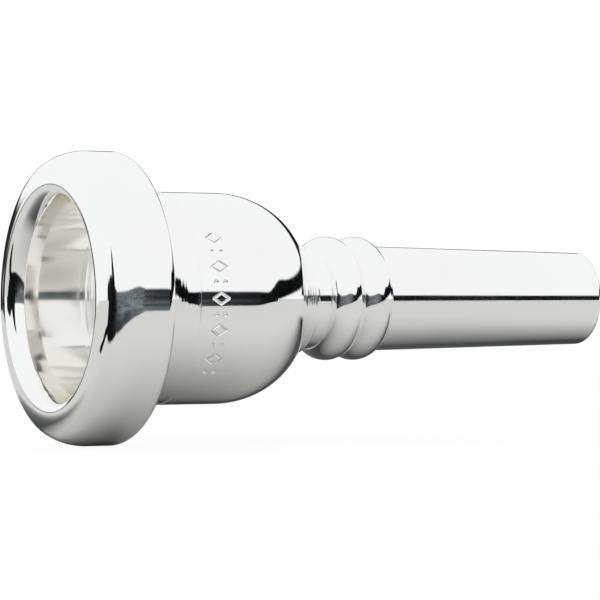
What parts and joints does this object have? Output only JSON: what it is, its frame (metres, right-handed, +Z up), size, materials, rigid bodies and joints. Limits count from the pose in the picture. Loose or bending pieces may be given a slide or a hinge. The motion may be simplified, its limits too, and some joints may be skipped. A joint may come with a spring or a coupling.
{
  "type": "brass instrument mouthpiece",
  "caption": "Bright silver mouthpiece with a cushioned ring rim, a deep round cup, a ringed neck and a tapered hollow shank, in screw-together sections.",
  "frame": {"origin": "on the turning axis, in the plane that the rim's crown touches", "axes": "+X along the turning axis from the player's side to the shank's end, +Z up, as it lies"},
  "size_m": [0.0806, 0.038, 0.0381],
  "materials": {
    "silver_rim": "polished silver plate over brass",
    "silver_cup": "polished silver plate over brass",
    "silver_shank": "polished silver plate over brass"
  },
  "bodies": {
    "cup": {"cup": "silver_cup"},
    "rim": {"rim": "silver_rim"},
    "shank": {"shank": "silver_shank"}
  },
  "joints": [
    {"name": "rim_off", "type": "slide", "parent": "cup", "child": "rim", "axis": [-1, 0, 0], "range_m": [0, 0.02]},
    {"name": "shank_off", "type": "slide", "parent": "cup", "child": "shank", "axis": [1, 0, 0], "range_m": [0, 0.02]}
  ]
}
